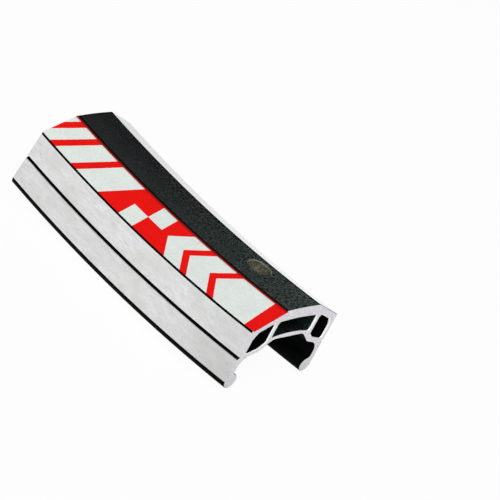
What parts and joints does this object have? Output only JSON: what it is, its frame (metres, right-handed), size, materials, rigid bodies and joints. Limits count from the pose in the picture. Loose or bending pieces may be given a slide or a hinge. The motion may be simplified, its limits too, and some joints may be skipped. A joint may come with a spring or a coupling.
{
  "type": "bicycle rim section",
  "caption": "Short sawn sample of a double-walled alloy bicycle rim with machined brake tracks, hollow chambers, tyre hooks, a spoke hole and a printed label on one slope.",
  "frame": {"origin": "centre of the bounding box's underside, on the floor that the two tyre hooks stand on", "axes": "+X along the sample towards its sawn near end, +Y across the rim away from the labelled slope, +Z towards the hub"},
  "size_m": [0.0582, 0.0244, 0.0174],
  "materials": {
    "rim_alloy": "black anodised, fine grain; brake tracks machined bare, cut ends sawn bare",
    "label_red": "printed film, gloss",
    "label_white": "printed film, gloss"
  },
  "bodies": {
    "root": {"rim_extrusion": "rim_alloy", "label_red_field": "label_red", "label_white_shapes": "label_white"}
  },
  "joints": []
}
